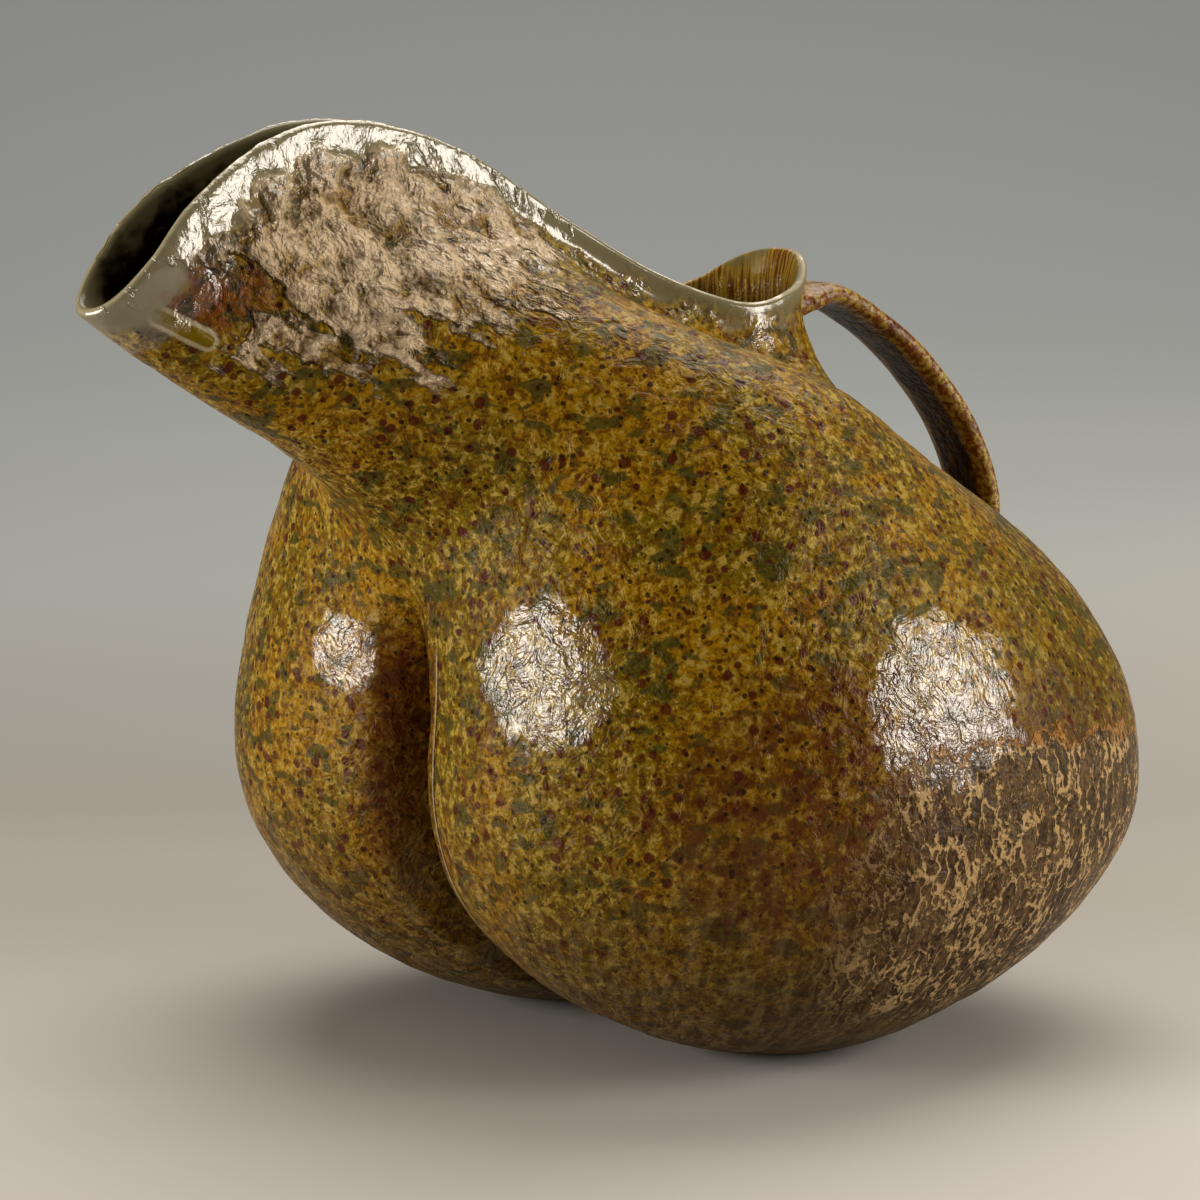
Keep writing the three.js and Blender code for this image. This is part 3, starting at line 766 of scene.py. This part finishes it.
# the seam is a real ridge; its pale line is partly painted highlight, and the dark line beside it
# is painted shade
seam_offset = axes["Y"] + 0.017 + (cloud - 0.5) * 0.002
seam_here = attribute(desk, "seam_here")
seam_and_highlight_line = (1 - seam_offset.abs() / 0.0006).within() * seam_here
painted_seam_shade = (1 - (seam_offset + 0.0012).abs() / 0.0005).within() * seam_here
seamed = desk.blend(painted_seam_shade, dripped, iron_dark)
seamed = desk.blend(seam_and_highlight_line * 0.8, seamed, ash_pink_and_sheen)
rearward = axes["X"].rise(-0.01, 0.03)
ragged_gap = gap + (cloud - 0.5) * 0.02 + (middling - 0.5) * 0.006 + rearward * 0.005
lipped = desk.blend(ragged_gap.rise(0.006, 0.014, 0.95, 0), seamed, grey_olive)
edged = desk.blend(gap.rise(0.0004, 0.0016, 0.5, 0), lipped, lip_cream)
deep = desk.blend(streak.rise(0.42, 0.62), inside_olive, brown)
# painted shade: the inside is made nearly black towards the spout
deep = desk.blend(axes["X"].rise(-0.03, 0.03), painted_inner_shade, deep)
within = desk.blend(ragged_gap.rise(0.002, 0.008), grey_olive, deep)
base = desk.blend(inside_here, edged, within)

# how satin or wet each place is, and its fine relief
rough = fine.rise(0.3, 0.7, 0.26, 0.4) + dry_here * 0.1
foil = desk.noise(point, 150, 3.0, 0.6, 1.0)
smooth_lip = ragged_gap.rise(0.010, 0.018, 0.08, 1)
ragged_gloss = (gloss_here + (cloud - 0.5) * 1.0 + (middling - 0.5) * 0.8).rise(0.35, 0.6)
ragged_gloss = ragged_gloss * gloss_here.rise(0.05, 0.35)
wetness = ragged_gloss * (1 - ash_edge * smooth_lip * 0.6) + ash_edge * 0.3
wetness = wetness * (1 - inside_here * 0.85)
bumps = (
    (foil * 0.0017 + fine * 0.00035) * smooth_lip + seam_and_highlight_line * 0.0006
    + (crust * 0.008 + pits * 0.0012 + fine * 0.0016) * ash_edge * smooth_lip
    + vein * below_ledge * 0.0007 + ledge_line * 0.001
)
surface(desk, base, rough, bumps, wetness * 0.97 + 0.03)

# %% Grow the wall
grow(wall, relief, {
    "Dimple Depth": 0.0022, "Lump Height": 0.001, "Crust Height": 0.009, "Drip Height": 0.0007,
    "Glaze": wall_glaze,
})
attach(wall, "root")
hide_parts("lobe_right", "lobe_left", "cleft_seam", "neck_right", "neck_left", "lip_bead")

# %% [markdown]
# ## The handle
# A strap was pulled from wet clay, bowed from the neck to the back of the lobes, and its two ends
# were thumbed on. A Geometry Nodes tree sweeps the strap's section along its path, widens it
# towards the ends, and swells it where it comes near the wall, which makes the thumbed fillet. The
# last rings land on the wall itself. The path's points are shares of the line between its seats.

# %% Strap path
handle_top_drop, handle_root_height = 14.6, 105
handle_bow = [
    (0.0455, 0.1024), (0.1939, 0.1873), (0.4149, 0.255),
    (0.6469, 0.2719), (0.8391, 0.2268), (0.9483, 0.1275),
]


def back_of_wall(at_height):
    """A point of the wall's outer face on the middle plane at the back, at a given height."""
    line = outer_face[lower_rings // 3:-1, column_count // 2]
    return np.array([np.interp(at_height, line[:, 2], line[:, k]) for k in range(3)])


def catmull_rom(knots, steps):
    """A centripetal curve through the knots, as the model's own strap has."""
    knots = [2 * knots[0] - knots[1], *knots, 2 * knots[-1] - knots[-2]]
    points = []
    for a, b, c, d in zip(knots, knots[1:], knots[2:], knots[3:]):
        steps_apart = ((a, b), (b, c), (c, d))
        first, middle, last = (math.sqrt(np.linalg.norm(q - p)) for p, q in steps_apart)
        start = ((b - a) / first - (c - a) / (first + middle) + (c - b) / middle) * middle
        end = ((c - b) / middle - (d - b) / (middle + last) + (d - c) / last) * middle
        for t in np.linspace(0, 1, steps, endpoint=False):
            points.append(b + start * t + (3 * (c - b) - 2 * start - end) * t * t
                          + (start + end - 2 * (c - b)) * t ** 3)
    return np.array([*points, knots[-2]])


top_seat = back_of_wall(crest_height * lip[180][2] - handle_top_drop)
root_seat = back_of_wall(handle_root_height)
seat_line = root_seat - top_seat
out_of_line = np.array([-seat_line[2], 0, seat_line[0]])
knots = [
    top_seat,
    *(top_seat + seat_line * along + out_of_line * away for along, away in handle_bow),
    root_seat,
]
steps_between_knots = 12
strap_points = to_metres(catmull_rom(knots, steps_between_knots))
path = bpy.data.meshes.new("strap_path")
path.from_pydata(strap_points, [(i, i + 1) for i in range(len(strap_points) - 1)], [])
handle = bpy.data.objects.new("handle", path)
bpy.context.scene.collection.objects.link(handle)
print("strap seats", top_seat.round(1), root_seat.round(1))

# %% Strap tree
strap, given = geometry_tree("luted strap", {
    "Width": "Float", "Thickness": "Float", "Flare": "Float", "Fillet": "Float",
    "Wall": "Object", "Glaze": "Material",
})
curve = strap.add("GeometryNodeMeshToCurve", {}, {"Mesh": given["Geometry"]})
curve = strap.add("GeometryNodeResampleCurve", {}, {"Curve": curve, "Count": 110})
curve = strap.add("GeometryNodeSetCurveNormal", {"mode": "MINIMUM_TWIST"}, {"Curve": curve})


def store(geometry, name, value, kind="FLOAT"):
    return strap.add("GeometryNodeStoreNamedAttribute", {"data_type": kind, "domain": "POINT"}, {
        "Geometry": geometry, "Name": name, "Value": value})


curve = store(curve, "share", strap.add("GeometryNodeSplineParameter")["Factor"])
curve = store(curve, "centre", strap.add("GeometryNodeInputPosition"), "FLOAT_VECTOR")
circle = strap.add("GeometryNodeCurvePrimitiveCircle", {}, {"Resolution": 40, "Radius": 1.0})
corner = strap.add("ShaderNodeSeparateXYZ", {}, {0: strap.add("GeometryNodeInputPosition")})


def squarer(value, power):
    return value.sum("SIGN") * value.abs() ** power


section = strap.add("ShaderNodeCombineXYZ", {}, {
    0: squarer(corner["X"], 0.6) * given["Width"] * 0.5,
    1: squarer(corner["Y"], 0.8) * given["Thickness"] * 0.5,
})
profile = store(circle, "face", corner["Y"])
profile = strap.add("GeometryNodeSetPosition", {}, {"Geometry": profile, "Position": section})
swept = strap.add("GeometryNodeCurveToMesh", {}, {
    "Curve": curve, "Profile Curve": profile, "Fill Caps": True})

from_middle = (read(strap, "share") * 2 - 1).abs()
centre = read(strap, "centre", "FLOAT_VECTOR")
arm = strap.add("ShaderNodeVectorMath", {"operation": "SUBTRACT"}, {
    0: strap.add("GeometryNodeInputPosition"), 1: centre})
widen = from_middle ** 4 * given["Flare"] + 1
wide_arm = strap.add("ShaderNodeVectorMath", {"operation": "MULTIPLY"}, {
    0: arm, 1: strap.add("ShaderNodeCombineXYZ", {}, {0: 1.0, 1: widen, 2: 1.0})})
flared = strap.add("GeometryNodeSetPosition", {}, {
    "Geometry": swept, "Position": centre.shifted(wide_arm)})
wall_shape = strap.add("GeometryNodeObjectInfo", {"transform_space": "ORIGINAL"}, {
    "Object": given["Wall"]})["Geometry"]
near = strap.add("GeometryNodeProximity", {"target_element": "FACES"}, {"Target": wall_shape})
closeness = (1 - near["Distance"] / given["Fillet"]).within()
outwards = strap.add("ShaderNodeVectorMath", {"operation": "NORMALIZE"}, {
    0: strap.add("ShaderNodeVectorMath", {"operation": "SUBTRACT"}, {
        0: strap.add("GeometryNodeInputPosition"), 1: centre})})
swell = strap.add("ShaderNodeVectorMath", {"operation": "SCALE"}, {
    0: outwards, "Scale": closeness * closeness * given["Fillet"]})
swollen = strap.add("GeometryNodeSetPosition", {}, {"Geometry": flared, "Offset": swell})
landing = strap.add("GeometryNodeProximity", {"target_element": "FACES"}, {"Target": wall_shape})
landed = strap.add("ShaderNodeMix", {"data_type": "VECTOR"}, {
    "Factor_Float": from_middle.rise(0.94, 1.0), "B_Vector": landing["Position"],
    "A_Vector": strap.add("GeometryNodeInputPosition")})["Result_Vector"]
seated = strap.add("GeometryNodeSetPosition", {}, {"Geometry": swollen, "Position": landed})
wobble = strap.noise(strap.add("GeometryNodeInputPosition"), 60, 2.0) - 0.5
uneven = strap.add("ShaderNodeVectorMath", {"operation": "SCALE"}, {
    0: strap.add("GeometryNodeInputNormal"), "Scale": wobble * 0.0012})
finished = strap.add("GeometryNodeSetPosition", {}, {"Geometry": seated, "Offset": uneven})
close_tree(strap, given, finished)

# %% Handle glaze
handle_glaze, desk = material("streaked handle glaze")
point = desk.add("ShaderNodeTexCoord")["Object"]
side = desk.add("ShaderNodeSeparateXYZ", {}, {0: point})["Y"]
fine = desk.noise(point, 520, 3.0, 0.65, 0.4)
cloud = desk.noise(point, 110, 2.0)
streaks = desk.noise(point.stretch(1, 1, 0.3), 300, 2.5, 0.6)
# the strap's edges and outer face are pale, and its under face is dark
edge_here = (side.abs() + (cloud - 0.5) * 0.006).rise(0.0045, 0.0065)
upper_here = ((cloud - 0.5) * 0.6 - attribute(desk, "face")).rise(0.3, 0.7)
edge_here = edge_here.sum("MAXIMUM", upper_here)
base = desk.blend(streaks.rise(0.42, 0.62), iron_dark, handle_dark)
base = desk.blend((fine * 0.4 + streaks * 0.6).rise(0.54, 0.64) * 0.45, base, olive)
soft_khaki = desk.blend(0.45, pale_khaki, olive)
edge_colour = desk.blend(fine.rise(0.42, 0.6), brown, soft_khaki)
edge_colour = desk.blend(cloud.rise(0.52, 0.66) * 0.6, edge_colour, iron_red)
base = desk.blend(edge_here, base, edge_colour)
rough = fine.rise(0.3, 0.7, 0.26, 0.42)
surface(desk, base, rough, fine * 0.0004 + streaks * 0.0006, edge_here * 0.14 + 0.06)

# %% Grow the handle
grow(handle, strap, {
    "Width": 0.019, "Thickness": 0.006, "Flare": 0.3, "Fillet": 0.005,
    "Wall": wall, "Glaze": handle_glaze,
})
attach(handle, "root")
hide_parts("handle_strap", "handle_top_wad", "handle_root_wad")

# %% [markdown]
# ## Floor and backdrop
# A studio sweep is one sheet of paper that lies under the pot and curves up behind it, so that no
# horizon shows. It grows darker as it rises, as the photograph's does.

# %% Sweep
sweep_front, bend_start, bend_radius, sweep_top, sweep_half_width = -2.5, 1.2, 0.9, 3.0, 3.0


def sweep_profile():
    """The sheet's section: how far it lies behind the pitcher, and how high."""
    for d in np.linspace(sweep_front, bend_start, 30):
        yield d, 0.0
    for angle in np.radians(np.linspace(5, 90, 18)):
        yield bend_start + bend_radius * math.sin(angle), bend_radius * (1 - math.cos(angle))
    yield bend_start + bend_radius, sweep_top


line = np.array(list(sweep_profile()))
level_back = np.array(towards_camera[:2])
level_back /= np.linalg.norm(level_back)
across = np.array([-level_back[1], level_back[0]])
sweep_points = []
for side in (-sweep_half_width, sweep_half_width):
    for d, up_by in line:
        ground_at = np.array(aim[:2]) - level_back * d + across * side
        sweep_points.append((ground_at[0], ground_at[1], up_by))
n = len(line)
sweep_faces = [(i, i + 1, n + i + 1, n + i) for i in range(n - 1)]
sweep_mesh = bpy.data.meshes.new("sweep")
sweep_mesh.from_pydata(sweep_points, [], sweep_faces)
sweep_mesh.polygons.foreach_set("use_smooth", [True] * len(sweep_mesh.polygons))
travelled = np.cumsum(np.linalg.norm(np.diff(line, axis=0), axis=1))
mark(sweep_mesh, "away", np.tile(np.append(0, travelled) + sweep_front, 2))
mark(sweep_mesh, "across", np.repeat((-sweep_half_width, sweep_half_width), n))
sweep_mesh.update()
if sweep_mesh.polygons[0].normal.z < 0:
    sweep_mesh.flip_normals()
sweep = bpy.data.objects.new("sweep", sweep_mesh)
bpy.context.scene.collection.objects.link(sweep)
paper, desk = material("studio paper")
away = attribute(desk, "away")
# the paper's tone on screen at each distance along it, in metres, its light and shade painted in
painted_paper_light = {
    -0.2: (179, 175, 175), -0.09: (178, 176, 174), 0.03: (158, 156, 153), 0.16: (141, 138, 133),
    0.31: (127, 127, 123), 0.52: (129, 129, 128), 0.78: (134, 137, 137), 1.3: (139, 144, 147),
    1.5: (132, 137, 141), 1.83: (130, 135, 140),
}
nearest, farthest = min(painted_paper_light), max(painted_paper_light)
paper_colour = desk.add("ShaderNodeValToRGB", {"stops": [
    ((at - nearest) / (farthest - nearest), colour(*tone)) for at, tone in painted_paper_light.items()
]}, {"Fac": (away - nearest) / (farthest - nearest)})
# painted light: the paper is paler towards one side
painted_light_side = attribute(desk, "across").rise(-0.05, 0.5)
painted_light_side = painted_light_side * away.rise(-0.1, 0.1) * away.rise(0.6, 1.6, 1, 0)
paper_colour = desk.blend(painted_light_side * 0.35, paper_colour, colour(176, 172, 164))
shader = desk.add("ShaderNodeBsdfPrincipled", {}, {
    "Base Color": paper_colour, "Roughness": 0.9, "Specular IOR Level": 0.1})
desk.add("ShaderNodeOutputMaterial", {}, {"Surface": shader})
sweep_mesh.materials.append(paper)

# %% [markdown]
# ## Light
# Two softboxes stand a little above the pitcher, one to the camera's right and one to its left,
# and each shows as a cloudy bright patch where the glaze is wet. A large light high behind picks
# out the neck's ash and the lip, and a grey room fills in the rest. The lamps are a little warm.

# %% Softboxes
lamp_tint = (1.0, 0.93, 0.83)


def softbox(name, turn, rise, distance, size, power):
    """turn is measured round the pitcher from the camera, positive to the camera's right."""
    bearing = math.radians(turn)
    flat = level_back * math.cos(bearing) + across * math.sin(bearing)
    direction = Vector((*(flat * math.cos(math.radians(rise))), math.sin(math.radians(rise))))
    data = bpy.data.lights.new(name, "AREA")
    data.shape = "RECTANGLE"
    data.size, data.size_y = size
    data.energy = power
    data.color = lamp_tint
    lamp = bpy.data.objects.new(name, data)
    lamp.location = aim + direction * distance
    lamp.rotation_euler = direction.to_track_quat("Z", "Y").to_euler()
    bpy.context.scene.collection.objects.link(lamp)
    print(name, "at", [round(v, 2) for v in lamp.location])


softbox("right softbox", 84, 12, 1.2, (0.66, 0.66), 14)
softbox("left softbox", -72, 6, 1.2, (0.74, 0.54), 15)
softbox("high light behind", 168, 58, 1.6, (1.7, 1.5), 40)
world = bpy.data.worlds.new("room")
world.use_nodes = True
bpy.context.scene.world = world
room = Desk(world.node_tree)
sky = room.add("ShaderNodeBackground", {}, {"Color": colour(148, 140, 126), "Strength": 1.0})
room.add("ShaderNodeOutputWorld", {}, {"Surface": sky})
bpy.context.scene.view_settings.view_transform = "Standard"
